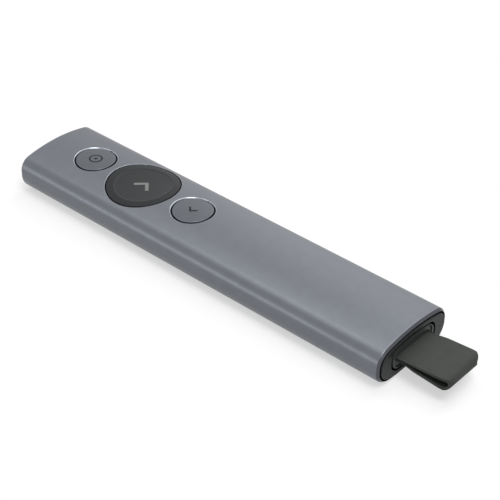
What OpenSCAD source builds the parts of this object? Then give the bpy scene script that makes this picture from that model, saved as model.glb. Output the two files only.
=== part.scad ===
// Wireless presentation clicker: an aluminium sleeve with three keys in its crowned top
// and a pull-out receiver with a strap loop docked in its tail.
// Origin: centre of the flat strip that the housing rests on. +X right, +Y front, +Z up.

/* [Housing] */
// Length between the two end faces
body_l = 131.3; // [128:0.1:140]
// Width at the sides
body_w = 28.1; // [27:0.1:31]
// Height at the crown
body_h = 12.1; // [12:0.1:13.5]
// Radius of the crowned top
crown_r = 49; // [40:1:80]
// Radius of the shoulders
shoulder_r = 4.27; // [3.8:0.01:4.6]
// Radius of the curves under the sides
heel_r = 5.22; // [4.8:0.01:5.5]
// Radius of the belly
belly_r = 27.4; // [24:0.1:34]
// Width of the flat strip under the belly
flat_w = 10.64; // [8:0.01:12]
// Wall of the sleeve
wall = 1.2; // [1:0.05:1.3]
// Bevel of the sleeve's ends, measured across the wall
end_bevel = 0.72; // [0.4:0.01:0.8]
// Bevel of the sleeve's ends, measured along the sleeve
end_bevel_l = 0.9; // [0.5:0.05:1.4]

/* [End caps] */
// Thickness of an end plate
cap_t = 1.6; // [1.2:0.1:2]
// Wall left beside an end plate
cap_rebate = 0.8; // [0.75:0.01:0.9]
// Gap round an end plate
cap_gap = 0.22; // [0.15:0.01:0.25]
// Depth of the spigot behind an end plate
spigot_l = 3; // [2:0.1:4]
// Wall of the spigot
spigot_t = 0.8; // [0.6:0.05:1.2]
// Broken edge of plastic faces
edge_break = 0.15; // [0.1:0.01:0.2]

/* [Keys] */
// Distance of the large key from the front end
next_from_front = 37.15; // [36:0.05:39]
// Distance from the large key to each small key
key_pitch = 19.3; // [19:0.1:20]
// Diameter of the two small keys
small_cap_d = 11.5; // [10:0.1:12]
// Diameter of the large key
next_cap_d = 21; // [18:0.1:21.4]
// Gap round a key
key_gap = 0.3; // [0.2:0.01:0.35]
// Bevel round the holes of the small keys
small_bevel = 0.35; // [0.2:0.01:0.5]
// Bevel round the hole of the large key
next_bevel = 0.15; // [0.1:0.01:0.4]
// Travel of a key
key_travel = 0.4; // [0.3:0.05:0.5]
// Thickness of a key at its edge
key_edge = 0.8; // [0.6:0.05:1]
// Diameter of the dish in the large key
dish_d = 16.8; // [12:0.1:17.5]
// Depth of the dish at its middle
dish_depth = 0.55; // [0.3:0.05:0.7]
// Step at the rim of the dish
dish_rim = 0.12; // [0.05:0.01:0.2]

/* [Key carriers] */
// Lip of a carrier under the roof
carrier_lip = 0.9; // [0.6:0.05:1.2]
// Thickness of a carrier at the crown
carrier_t = 2.3; // [2:0.05:2.4]
// Gap between a carrier and the roof at rest
roof_gap = 0.1; // [0.08:0.01:0.15]
// Diameter of a carrier's stem
stem_d = 3; // [2.4:0.1:3.4]
// Diameter of a carrier's guide peg
peg_d = 1.2; // [1:0.05:1.4]
// Gap round a guide peg
peg_gap = 0.2; // [0.15:0.01:0.3]

/* [Switches] */
// Side of a switch's base
switch_w = 4.4; // [4:0.1:4.6]
// Height of a switch's base
switch_h = 1.3; // [1.1:0.05:1.4]
// Diameter of a switch's plunger
plunger_d = 2; // [1.6:0.1:2.2]
// Height of a plunger above its base
plunger_out = 0.6; // [0.55:0.05:0.7]
// Depth of a plunger in its base
plunger_in = 0.6; // [0.5:0.05:0.7]
// Gap round a plunger
plunger_gap = 0.2; // [0.1:0.01:0.3]

/* [Boards and tray] */
// Thickness of the circuit board
board_t = 0.8; // [0.6:0.05:0.9]
// Gap between the board and the sleeve's sides
board_gap = 0.6; // [0.4:0.05:1]
// Thickness of the tray under the battery
tray_t = 0.8; // [0.6:0.05:0.9]
// Gap of parts that are slid or set into each other
fit_gap = 0.1; // [0.08:0.01:0.12]
// Height of the legs under the key frame
frame_leg = 1; // [0.9:0.05:1.1]
// Thickness of the key frame
frame_t = 0.7; // [0.6:0.05:0.8]
// Diameter of a leg of the key frame
leg_d = 2.6; // [2.4:0.1:3]
// Diameter of a screw's shank
screw_d = 1.4; // [1.2:0.05:1.6]
// Diameter of a screw's head
head_d = 2.6; // [2.4:0.1:3]
// Height of a screw's head
head_h = 0.6; // [0.4:0.05:0.7]
// Length of a screw in the tray
screw_bite = 2; // [1.5:0.1:2.4]

/* [Battery and motor] */
// Length of the battery cell
cell_l = 30; // [24:0.5:31]
// Width of the battery cell
cell_w = 15; // [12:0.5:16]
// Thickness of the battery cell
cell_t = 2.6; // [2.4:0.05:2.7]
// Thickness of the foam pad under the cell
pad_t = 0.3; // [0.2:0.05:0.4]
// Diameter of the vibration motor
motor_d = 8; // [7:0.1:9]
// Thickness of the vibration motor
motor_t = 2.6; // [2.4:0.05:2.7]

/* [Dock and receiver] */
// Width of the receiver
rec_w = 17.5; // [16.5:0.1:18]
// Height of the receiver
rec_h = 7.8; // [7.6:0.1:7.9]
// Radius of the receiver's top and bottom
rec_crown_r = 60; // [50:1:90]
// Radius of the receiver's sides
rec_corner_r = 3; // [2.5:0.05:3.2]
// Length of the receiver's body
rec_l = 13.4; // [12.5:0.1:14]
// Gap between the receiver and its dock
dock_gap = 0.25; // [0.2:0.01:0.3]
// Wall of the dock
dock_t = 0.5; // [0.4:0.01:0.55]
// Depth of the dock
dock_l = 26; // [25.6:0.1:27]
// Thickness of the dock's floor
dock_floor = 0.8; // [0.6:0.05:1]

/* [Plugs] */
// Width of the receiver's metal plug
plug_w = 12; // [11.8:0.05:12.1]
// Height of the receiver's metal plug
plug_h = 4.5; // [4.3:0.05:4.6]
// Length of the plug that shows
plug_l = 12; // [11.5:0.1:12.1]
// Length of the plug in the receiver's body
plug_root = 5; // [4:0.1:5.5]
// Sheet of the metal plug
plug_t = 0.3; // [0.2:0.01:0.35]
// Thickness of the plug's tongue
tongue_t = 1.9; // [1.7:0.05:2]
// Width of the charging port's shell
port_w = 8.94; // [8.6:0.02:9.2]
// Height of the charging port's shell
port_h = 3.16; // [3:0.02:3.3]
// Length of the charging port's shell
port_l = 7.3; // [6.5:0.1:8]
// Sheet of the charging port's shell
port_t = 0.25; // [0.2:0.01:0.3]
// Thickness of the charging port's tongue
port_tongue_t = 0.7; // [0.6:0.05:0.8]

/* [Strap] */
// Width of the strap at its root
strap_w = 13; // [12:0.1:13.4]
// Width of the loop once it has flared
loop_w = 14; // [13:0.1:15]
// Length over which the strap flares, from the tail
flare_l = 5; // [3:0.1:7]
// Thickness of one layer of the strap
strap_t = 0.75; // [0.65:0.01:0.95]
// Reach of the loop beyond the tail
strap_out = 15.4; // [13:0.1:18]
// Height of the loop at its far end
loop_h = 3.5; // [3.2:0.05:4.2]
// Radius of the loop's far corners, seen from above
loop_corner_r = 2.6; // [1:0.05:4]
// Height of the neck where the two layers meet
neck_h = 1.6; // [1.5:0.05:1.9]
// Distance of the pin from the receiver's face
bead_in = 3.6; // [3.2:0.05:4]
// Diameter of the pin through the strap's root
pin_d = 1.4; // [1.2:0.05:1.5]
// Length of the pin that the receiver holds at each side
pin_hold = 1.3; // [1:0.05:1.5]
// Diameter of the bead at the strap's root
bead_d = 2.8; // [2.7:0.05:3]

/* [Hidden] */
$fn = 64;

// Overrun of every cut
over = 0.5;
// Steps of each arc of a section
crown_steps = 6;
shoulder_steps = 12;
heel_steps = 12;
belly_steps = 3;
// Sides of the lofts that follow the crown, and rings of the dish
loft_sides = 48;
dish_rings = 5;

// A section: width, height, crown radius, shoulder radius, belly radius, heel radius, flat
house = [body_w, body_h, crown_r, shoulder_r, belly_r, heel_r, flat_w];
rec_flat = rec_w / 4;
rec = [rec_w, rec_h, rec_crown_r, rec_corner_r, rec_crown_r, rec_corner_r, rec_flat];

half_l = body_l / 2;
tail_y = -half_l;
liner = wall + fit_gap;
cap_inset = cap_rebate + cap_gap;
cap_seat_y = half_l - cap_t;
spigot_end_y = cap_seat_y - spigot_l;
lug_x = rec_w / 2 + dock_gap + dock_t + 2 * fit_gap;

// Levels of the stack on the sleeve's floor
bay_z = liner + tray_t;
cell_z = bay_z + pad_t;
tab_t = 0.2;
board_z = cell_z + cell_t + tab_t;
board_top = board_z + board_t;
switch_top = board_top + switch_h;
plunger_top = switch_top + plunger_out;
frame_z = board_top + frame_leg;
frame_top = frame_z + frame_t;
carrier_top = body_h - wall - roof_gap;
carrier_z = carrier_top - carrier_t;

// Dock and receiver
rec_z = liner + dock_t + dock_gap;
rec_mid = rec_z + rec_h / 2;
dock_end_y = tail_y + dock_l;
dock_back_y = dock_end_y + dock_floor;
rec_end_y = tail_y + rec_l;
plug_tip_y = rec_end_y + plug_l;
plug_root_y = rec_end_y - plug_root;

// Board and tray along the housing
tray_y0 = dock_back_y + 4 * fit_gap;
tray_y1 = spigot_end_y - 4 * fit_gap;
board_w = body_w - 2 * wall - 2 * board_gap;
notch_gap = 0.3;
next_y = half_l - next_from_front;
pointer_y = next_y + key_pitch;
back_y = next_y - key_pitch;
small_hole_r = small_cap_d / 2 + key_gap;
next_hole_r = next_cap_d / 2 + key_gap;
frame_w = board_w - 2 * leg_d;
frame_y0 = back_y - small_hole_r - carrier_lip;
frame_y1 = pointer_y + small_hole_r + carrier_lip;
frame_corner_x = frame_w / 2 - leg_d / 2;
frame_corners = [for (x = [-1, 1], y = [frame_y0 + leg_d / 2, frame_y1 - leg_d / 2])
    [x * frame_corner_x, y]];
frame_middles = [for (x = [-1, 1], y = [-1, 1])
    [x * frame_corner_x, next_y + y * (next_hole_r + carrier_lip)]];
board_screw_spots = [for (x = [-1, 1]) [x * frame_corner_x, tray_y0 + port_l / 2]];
bay_gap = 0.3;
cell_y0 = tray_y0 + port_l + head_d;
cell_y1 = cell_y0 + cell_l;
motor_y = cell_y1 + motor_d / 2 + 2 * leg_d;

// Strap
loop_r = loop_h / 2;
loop_y = tail_y - strap_out + loop_r;
neck_r = neck_h / 2;
slit_r = 0.15;
bead_y = tail_y + bead_in;
pocket_gap = 0.15;
recess_w = strap_w + 4 * pocket_gap;
recess_h = 3.9;
recess_l = 1.5;
recess_r = 1;
pocket_end_y = bead_y + bead_d / 2 + pocket_gap;
pin_l = strap_w + 2 * pin_hold;

// Points on an arc about c from angle a0 to a1 in n steps, starting with step first
function arc(c, r, a0, a1, n, first = 0) =
    [for (i = [first:n]) let (a = a0 + (a1 - a0) * i / n) c + r * [cos(a), sin(a)]];

// Centre of a section's crown, shoulder and heel
function crown_c(s) = [0, s[1] - s[2]];
function shoulder_c(s) =
    let (x = s[0] / 2 - s[3])
    [x, s[1] - s[2] + sqrt(pow(s[2] - s[3], 2) - x * x)];
function heel_c(s) =
    let (x = s[0] / 2 - s[5])
    [x, s[4] - sqrt(pow(s[4] - s[5], 2) - pow(x - s[6] / 2, 2))];

// Angle of the line from point a to point b
function bearing(a, b) = atan2(b[1] - a[1], b[0] - a[0]);

// Right half of a section inset by g, from the flat up to the crown
function half_section(s, g) =
    let (
        belly = [s[6] / 2, s[4]],
        heel = heel_c(s),
        shoulder = shoulder_c(s),
        crown = crown_c(s),
        a_heel = bearing(belly, heel),
        a_crown = bearing(crown, shoulder)
    )
    concat(
        arc(belly, s[4] - g, -90, a_heel, belly_steps),
        arc(heel, s[5] - g, a_heel, 0, heel_steps, 1),
        arc(shoulder, s[3] - g, 0, a_crown, shoulder_steps),
        arc(crown, s[2] - g, a_crown, 90, crown_steps, 1)
    );

// The whole section, closed by its mirrored half
function section(s, g) =
    let (right = half_section(s, g), n = len(right))
    concat(right, [for (i = [n - 2:-1:0]) [-right[i][0], right[i][1]]]);

// Height of the housing's top at a distance x from its middle
function top_z(x) =
    let (shoulder = shoulder_c(house), crown = crown_c(house))
    abs(x) < crown_r * cos(bearing(crown, shoulder))
        ? crown[1] + sqrt(crown_r * crown_r - x * x)
        : shoulder[1] + sqrt(pow(shoulder_r, 2) - pow(abs(x) - shoulder[0], 2));

// Outline of a loop that swells from radius r0 at y0 to radius r1 at y1, where y1 < y0
function teardrop(y0, r0, y1, r1) =
    let (a = asin((r1 - r0) / (y0 - y1)))
    concat(
        arc([y1, 0], r1, 90 - a, 270 + a, heel_steps * 2),
        arc([y0, 0], r0, -90 + a, 90 - a, heel_steps)
    );

// Runs a flat shape in x and z along the housing from y0 to y1
module along_y(y0, y1) {
    translate([0, y1, 0])
        rotate([90, 0, 0])
            linear_extrude(y1 - y0)
                children();
}

// A bar of section s, inset by g
module bar(s, g, y0, y1) {
    along_y(y0, y1)
        polygon(section(s, g));
}

// A solid whose rings follow the crown: each ring is a radius and a drop below the top
module crowned_loft(rings, middle_drop) {
    n = loft_sides;
    m = len(rings);
    ring_points = [for (k = rings, j = [0:n - 1])
        let (x = k[0] * cos(360 * j / n), y = k[0] * sin(360 * j / n))
        [x, y, top_z(x) - k[1]]];
    middles = [[0, 0, top_z(0) - middle_drop], [0, 0, top_z(0) - rings[m - 1][1]]];
    sides = [for (k = [0:m - 2], j = [0:n - 1], t = [0, 1])
        let (a = k * n + j, b = k * n + (j + 1) % n)
        t == 0 ? [a, a + n, b + n] : [a, b + n, b]];
    floor_fan = [for (j = [0:n - 1]) [m * n, j, (j + 1) % n]];
    roof_fan = [for (j = [0:n - 1]) [m * n + 1, (m - 1) * n + (j + 1) % n, (m - 1) * n + j]];
    polyhedron(concat(ring_points, middles), concat(sides, floor_fan, roof_fan));
}

// Hole for a key, with a bevel that follows the crown
module key_hole(y, r, bevel) {
    translate([0, y, 0]) {
        translate([0, 0, body_h / 2])
            cylinder(r = r, h = body_h / 2 + over);
        crowned_loft([[r - over, bevel + over], [r + bevel + over, -over]], bevel + over);
    }
}

// Dish that follows the crown, as a cutter
module dish_cutter() {
    r = dish_d / 2;
    rings = [for (i = [1:dish_rings]) let (q = i / dish_rings)
        [r * q, dish_rim + (dish_depth - dish_rim) * (1 - q * q)]];
    crowned_loft(concat(rings, [[r, -over]]), dish_depth);
}

// Extruded aluminium sleeve with bevelled ends, rebates for the end plates and key holes
module shell() {
    color([0.52, 0.54, 0.56])
        difference() {
            hull() {
                bar(house, 0, tail_y + end_bevel_l, half_l - end_bevel_l);
                bar(house, end_bevel, tail_y, half_l);
            }
            bar(house, wall, tail_y - over, half_l + over);
            bar(house, cap_rebate, tail_y - over, tail_y + cap_t);
            bar(house, cap_rebate, half_l - cap_t, half_l + over);
            key_hole(pointer_y, small_hole_r, small_bevel);
            key_hole(next_y, next_hole_r, next_bevel);
            key_hole(back_y, small_hole_r, small_bevel);
        }
}

// End plate with a broken edge, at the front end
module end_plate() {
    hull() {
        bar(house, cap_inset, cap_seat_y, half_l - edge_break);
        bar(house, cap_inset + edge_break, cap_seat_y, half_l);
    }
}

// Hollow spigot behind the front end plate
module spigot() {
    difference() {
        bar(house, liner, spigot_end_y, cap_seat_y);
        bar(house, liner + spigot_t, spigot_end_y - over, cap_seat_y + over);
    }
}

// Plastic front cap, the window of the radio
module front_cap() {
    color([0.2, 0.21, 0.21]) {
        end_plate();
        spigot();
    }
}

// Tail plate with the mouth of the receiver's dock, held by a lug at each side of the dock
module tail_cap() {
    color([0.21, 0.22, 0.22])
        mirror([0, 1, 0])
            difference() {
                union() {
                    end_plate();
                    spigot();
                }
                translate([0, 0, rec_z])
                    bar(rec, -dock_gap, cap_seat_y - over, half_l + over);
                translate([-lug_x, spigot_end_y - over, 0])
                    cube([2 * lug_x, spigot_l + over, body_h]);
            }
}

// Dock of the receiver behind the tail plate, with the charging port's mouth in its floor
module dock_sleeve() {
    color([0.19, 0.2, 0.2])
        difference() {
            translate([0, 0, rec_z])
                bar(rec, -dock_gap - dock_t, tail_y + cap_t, dock_back_y);
            translate([0, 0, rec_z])
                bar(rec, -dock_gap, tail_y, dock_end_y);
            translate([0, 0, rec_mid])
                port_bar(notch_gap, dock_end_y - over, dock_back_y + over);
        }
}

// Bar with round ends, the charging port's outline grown by g, about the receiver's middle
module port_bar(g, y0, y1) {
    r = port_h / 2;
    along_y(y0, y1)
        union() {
            square([port_w - port_h, port_h + 2 * g], center = true);
            for (x = [-1, 1])
                translate([x * (port_w / 2 - r), 0])
                    circle(r + g);
        }
}

// Tray along the sleeve's floor, with bays for the battery, motor and port
module chassis_tray() {
    color([0.16, 0.17, 0.18])
        difference() {
            intersection() {
                bar(house, liner, tray_y0, tray_y1);
                translate([-body_w / 2, tray_y0, 0])
                    cube([body_w, tray_y1 - tray_y0, board_z]);
            }
            translate([-cell_w / 2 - bay_gap, cell_y0 - bay_gap, bay_z])
                cube([cell_w + 2 * bay_gap, cell_l + 2 * bay_gap, board_z]);
            translate([0, motor_y, bay_z])
                cylinder(d = motor_d + 2 * bay_gap, h = board_z);
            translate([0, 0, rec_mid])
                port_bar(notch_gap, tray_y0 - over, tray_y0 + port_l);
            for (p = concat(frame_corners, board_screw_spots))
                translate([p[0], p[1], board_z - screw_bite - fit_gap])
                    cylinder(d = screw_d + fit_gap, h = screw_bite + over);
        }
}

// Circuit board, notched round the charging port
module main_board() {
    color([0.1, 0.3, 0.18])
        difference() {
            translate([-board_w / 2, tray_y0, board_z])
                cube([board_w, tray_y1 - tray_y0, board_t]);
            translate([-port_w / 2 - notch_gap, tray_y0 - over, board_z - over])
                cube([port_w + 2 * notch_gap, port_l + over, board_t + 2 * over]);
            for (p = concat(frame_corners, board_screw_spots))
                translate([p[0], p[1], board_z - over])
                    cylinder(d = screw_d + 2 * fit_gap, h = board_t + 2 * over);
        }
}

// A screw whose head rests at height z
module screw(p, z) {
    translate([p[0], p[1], z])
        cylinder(d = head_d, h = head_h);
    translate([p[0], p[1], board_z - screw_bite])
        cylinder(d = screw_d, h = z + screw_bite - board_z);
}

// Two screws that hold the board's rear end
module board_screws() {
    color("silver")
        for (p = board_screw_spots)
            screw(p, board_top);
}

// Four screws through the key frame and the board
module frame_screws() {
    color("silver")
        for (p = frame_corners)
            screw(p, frame_top);
}

// Frame over the board that guides the carriers' pegs
module key_frame() {
    color([0.14, 0.15, 0.16])
        difference() {
            union() {
                translate([-frame_w / 2, frame_y0, frame_z])
                    cube([frame_w, frame_y1 - frame_y0, frame_t]);
                for (p = concat(frame_corners, frame_middles))
                    translate([p[0], p[1], board_top])
                        cylinder(d = leg_d, h = frame_leg + frame_t);
            }
            for (p = frame_corners)
                translate([p[0], p[1], board_top - over])
                    cylinder(d = screw_d + 2 * fit_gap, h = frame_leg + frame_t + 2 * over);
            for (y = [pointer_y, next_y, back_y])
                translate([0, y, frame_z - over])
                    cylinder(d = switch_w * sqrt(2) + 2 * bay_gap, h = frame_t + 2 * over);
            peg_holes(pointer_y, small_hole_r);
            peg_holes(next_y, next_hole_r);
            peg_holes(back_y, small_hole_r);
        }
}

// Holes for the two guide pegs of a carrier
module peg_holes(y, r) {
    for (side = [-1, 1])
        translate([0, y + side * (r - peg_d), frame_z - over])
            cylinder(d = peg_d + 2 * peg_gap, h = frame_t + 2 * over);
}

// Foam pad between the tray and the cell
module battery_pad() {
    color([0.12, 0.12, 0.12])
        translate([-cell_w / 2, cell_y0, bay_z])
            cube([cell_w, cell_l, pad_t]);
}

// Flat pouch cell with rounded long edges
module battery_cell() {
    r = cell_t / 2;
    color([0.75, 0.76, 0.78])
        translate([0, 0, cell_z + r])
            along_y(cell_y0, cell_y1)
                union() {
                    square([cell_w - cell_t, cell_t], center = true);
                    for (x = [-1, 1])
                        translate([x * (cell_w / 2 - r), 0])
                            circle(r);
                }
}

// Two tabs from the cell to the board
module battery_tabs() {
    tab_w = cell_w / 5;
    color("goldenrod")
        for (x = [-1, 1])
            translate([x * tab_w - tab_w / 2, cell_y1 - tab_w, board_z - tab_t])
                cube([tab_w, tab_w, tab_t]);
}

// Coin motor that buzzes in the hand
module vibration_motor() {
    cap_share = 0.8;
    color("silver")
        translate([0, motor_y, bay_z]) {
            cylinder(d = motor_d, h = motor_t * cap_share);
            cylinder(d = motor_d * cap_share, h = motor_t);
        }
}

// Folded tin can over the radio, halfway between the charging port and the key frame
module radio_shield() {
    can_l = 12;
    can_w = 10;
    can_h = 1.4;
    sheet = 0.2;
    color([0.7, 0.71, 0.72])
        translate([0, (tray_y0 + port_l + frame_y0) / 2, board_top])
            difference() {
                translate([-can_w / 2, -can_l / 2, 0])
                    cube([can_w, can_l, can_h]);
                translate([-can_w / 2 + sheet, -can_l / 2 + sheet, -over])
                    cube([can_w - 2 * sheet, can_l - 2 * sheet, can_h - sheet + over]);
            }
}

// Antenna on the board's front edge, behind the front cap
module antenna_chip() {
    chip_l = 2;
    chip_w = 7;
    chip_h = 0.9;
    color([0.85, 0.84, 0.78])
        translate([-chip_w / 2, tray_y1 - 2 * chip_l, board_top])
            cube([chip_w, chip_l, chip_h]);
}

// Charging port's metal shell, its mouth in the dock's floor
module charge_port_shell() {
    color([0.68, 0.69, 0.7])
        translate([0, 0, rec_mid])
            difference() {
                port_bar(0, dock_end_y, dock_end_y + port_l);
                port_bar(-port_t, dock_end_y - over, dock_end_y + port_l - port_t);
            }
}

// Charging port's tongue on its block
module charge_port_tongue() {
    block_share = 0.2;
    y0 = dock_end_y + 2 * port_tongue_t;
    y1 = dock_end_y + port_l - port_t;
    tongue_w = port_w - 2 * port_h + 2 * port_tongue_t;
    color([0.1, 0.1, 0.1])
        translate([0, 0, rec_mid]) {
            translate([-tongue_w / 2, y0, -port_tongue_t / 2])
                cube([tongue_w, y1 - y0, port_tongue_t]);
            port_bar(-port_t - fit_gap, y1 - port_l * block_share, y1);
        }
}

// Base of a tactile switch with the bore of its plunger
module switch_base(y) {
    bore_d = plunger_d + 2 * plunger_gap;
    bore_z = switch_top - plunger_in - key_travel - fit_gap;
    color([0.2, 0.2, 0.21])
        difference() {
            translate([-switch_w / 2, y - switch_w / 2, board_top])
                cube([switch_w, switch_w, switch_h]);
            translate([0, y, bore_z])
                cylinder(d = bore_d, h = switch_top - bore_z + over);
        }
}

module pointer_switch() {
    switch_base(pointer_y);
}

module next_switch() {
    switch_base(next_y);
}

module back_switch() {
    switch_base(back_y);
}

// Disc of a key from its seat up to the crown, flush with the housing
module key_disc(y, r) {
    seat_z = top_z(r) - key_edge;
    intersection() {
        translate([0, y, seat_z])
            cylinder(r = r, h = body_h - seat_z + over);
        bar(house, 0, y - r - over, y + r + over);
    }
}

// Carrier under a key: a flange held by the roof, a seat, a stem and two guide pegs
module key_carrier(y, r) {
    seat_z = top_z(r) - key_edge;
    hole_r = r + key_gap;
    flange_r = hole_r + carrier_lip;
    color([0.13, 0.13, 0.14]) {
        difference() {
            intersection() {
                translate([0, y, carrier_z])
                    cylinder(r = flange_r, h = body_h - carrier_z);
                bar(house, wall + roof_gap, y - flange_r - over, y + flange_r + over);
            }
            translate([0, y, seat_z])
                cylinder(r = r + fit_gap, h = body_h);
        }
        translate([0, y, carrier_z])
            cylinder(r = r, h = seat_z - carrier_z);
        translate([0, y, plunger_top])
            cylinder(d = stem_d, h = carrier_z - plunger_top);
        for (side = [-1, 1])
            translate([0, y + side * (hole_r - peg_d), frame_z])
                cylinder(d = peg_d, h = carrier_z - frame_z);
    }
}

// Plunger of a switch, under a carrier's stem
module switch_plunger(y) {
    color([0.6, 0.58, 0.5])
        translate([0, y, switch_top - plunger_in])
            cylinder(d = plunger_d, h = plunger_in + plunger_out);
}

// Anodised small key near the front
module pointer_cap() {
    color([0.5, 0.52, 0.54])
        key_disc(pointer_y, small_cap_d / 2);
}

module pointer_carrier() {
    key_carrier(pointer_y, small_cap_d / 2);
}

module pointer_plunger() {
    switch_plunger(pointer_y);
}

// Large plastic key with its dish
module next_cap() {
    color([0.25, 0.25, 0.26])
        difference() {
            key_disc(next_y, next_cap_d / 2);
            translate([0, next_y, 0])
                dish_cutter();
        }
}

module next_carrier() {
    key_carrier(next_y, next_cap_d / 2);
}

module next_plunger() {
    switch_plunger(next_y);
}

// Anodised small key nearer the middle
module back_cap() {
    color([0.52, 0.54, 0.56])
        key_disc(back_y, small_cap_d / 2);
}

module back_carrier() {
    key_carrier(back_y, small_cap_d / 2);
}

module back_plunger() {
    switch_plunger(back_y);
}

// Recess in the receiver's face, with round corners
module strap_recess() {
    along_y(tail_y - over, tail_y + recess_l)
        union() {
            square([recess_w - 2 * recess_r, recess_h], center = true);
            square([recess_w, recess_h - 2 * recess_r], center = true);
            for (x = [-1, 1], z = [-1, 1])
                translate([x * (recess_w / 2 - recess_r), z * (recess_h / 2 - recess_r)])
                    circle(recess_r);
        }
}

// Receiver's plastic body: face flush with the tail, pocket for the strap, socket for the plug
module receiver_body() {
    pocket_h = bead_d + 2 * pocket_gap;
    socket_y = pocket_end_y + 2 * plug_t;
    color([0.24, 0.25, 0.25])
        difference() {
            translate([0, 0, rec_z])
                hull() {
                    bar(rec, 0, tail_y + edge_break, rec_end_y);
                    bar(rec, edge_break, tail_y, rec_end_y);
                }
            translate([0, 0, rec_mid]) {
                strap_recess();
                translate([-recess_w / 2, tail_y, -pocket_h / 2])
                    cube([recess_w, pocket_end_y - tail_y, pocket_h]);
                translate([-pin_l / 2 - fit_gap, bead_y, 0])
                    rotate([0, 90, 0])
                        cylinder(d = pin_d + fit_gap, h = pin_l + 2 * fit_gap);
                translate([-plug_w / 2 - fit_gap, socket_y, -plug_h / 2 - fit_gap])
                    cube([plug_w + 2 * fit_gap, rec_end_y - socket_y + over,
                        plug_h + 2 * fit_gap]);
            }
        }
}

// Metal shell of the plug, with two windows in each wide face
module plug_shell() {
    window_w = 2.5;
    window_l = 2;
    window_y = 5.2;
    length = plug_root + plug_l;
    color([0.72, 0.73, 0.74])
        translate([0, plug_root_y, rec_mid])
            difference() {
                translate([-plug_w / 2, 0, -plug_h / 2])
                    cube([plug_w, length, plug_h]);
                translate([-plug_w / 2 + plug_t, -over, -plug_h / 2 + plug_t])
                    cube([plug_w - 2 * plug_t, length + 2 * over, plug_h - 2 * plug_t]);
                for (x = [-1, 1])
                    translate([x * window_w - window_w / 2, length - window_y - window_l, -plug_h])
                        cube([window_w, window_l, 2 * plug_h]);
            }
}

// Plastic tongue along the lower half of the plug
module plug_tongue() {
    y0 = plug_root_y + 2 * plug_t;
    w = plug_w - 2 * plug_t - 2 * fit_gap;
    color([0.08, 0.08, 0.09])
        translate([-w / 2, y0, rec_mid - plug_h / 2 + plug_t])
            cube([w, plug_tip_y - 2 * plug_t - y0, tongue_t]);
}

// Four contacts on the tongue
module plug_contacts() {
    contact_w = 1;
    contact_t = 0.15;
    contact_l = 7.4;
    contact_pitch = 2.2;
    color("gold")
        for (i = [-1.5:1:1.5])
            translate([i * contact_pitch - contact_w / 2, plug_tip_y - contact_l - 3 * plug_t,
                rec_mid - plug_h / 2 + plug_t + tongue_t])
                cube([contact_w, contact_l, contact_t]);
}

// Receiver's own board, on the tongue
module receiver_board() {
    rec_board_t = 0.6;
    w = plug_w - 6 * plug_t;
    y0 = plug_root_y;
    color([0.1, 0.3, 0.18])
        translate([-w / 2, y0, rec_mid - plug_h / 2 + plug_t + tongue_t])
            cube([w, plug_root + plug_l / 4, rec_board_t]);
}

// Steel pin that the strap turns about
module strap_pin() {
    color("silver")
        translate([-pin_l / 2, bead_y, rec_mid])
            rotate([0, 90, 0])
                cylinder(d = pin_d, h = pin_l);
}

// Rubber strap: a loop of two layers that meet in a neck and end in a bead round the pin
module strap_loop() {
    color([0.27, 0.28, 0.27])
        translate([0, 0, rec_mid])
            intersection() {
                translate([-loop_w / 2, 0, 0])
                    rotate([90, 0, 90])
                        linear_extrude(loop_w)
                            difference() {
                                union() {
                                    polygon(teardrop(tail_y, neck_r, loop_y, loop_r));
                                    translate([tail_y, -neck_r])
                                        square([bead_y - tail_y, 2 * neck_r]);
                                    translate([bead_y, 0])
                                        circle(d = bead_d);
                                }
                                polygon(teardrop(tail_y, slit_r, loop_y, loop_r - strap_t));
                                translate([bead_y, 0])
                                    circle(d = pin_d + fit_gap);
                            }
                translate([0, 0, -loop_h])
                    linear_extrude(2 * loop_h)
                        strap_plan();
            }
}

// Strap seen from above: it flares from its root to the loop, whose far corners are round
module strap_plan() {
    r = loop_corner_r;
    corner = [loop_w / 2 - r, loop_y - loop_r + r];
    edge = concat(
        [[strap_w / 2, bead_y + bead_d], [strap_w / 2, tail_y], [loop_w / 2, tail_y - flare_l]],
        arc(corner, r, 0, -90, shoulder_steps)
    );
    polygon(concat(edge, [for (i = [len(edge) - 1:-1:0]) [-edge[i][0], edge[i][1]]]));
}

shell();
front_cap();
tail_cap();
dock_sleeve();
chassis_tray();
main_board();
board_screws();
frame_screws();
key_frame();
battery_pad();
battery_cell();
battery_tabs();
vibration_motor();
radio_shield();
antenna_chip();
charge_port_shell();
charge_port_tongue();
pointer_switch();
next_switch();
back_switch();
pointer_cap();
pointer_carrier();
pointer_plunger();
next_cap();
next_carrier();
next_plunger();
back_cap();
back_carrier();
back_plunger();
receiver_body();
receiver_board();
plug_shell();
plug_tongue();
plug_contacts();
strap_pin();
strap_loop();
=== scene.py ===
"""Looks of a wireless presentation clicker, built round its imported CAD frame.

An anodised sleeve holds three round keys and an end plate at each end, and a receiver with a rubber
strap loop docks in its tail. Sizes are in millimetres, in the frame of the part's source, until
Mould.cast turns a finished mesh into metres.
"""

import logging
from collections.abc import Callable, Sequence
from dataclasses import dataclass, field
from enum import Enum
from math import asin, atan2, cos, hypot, pi, radians, sin, sqrt, tau

import bmesh
import bpy
from bmesh.types import BMEdge, BMesh, BMVert
from mathutils import Matrix, Vector


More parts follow.
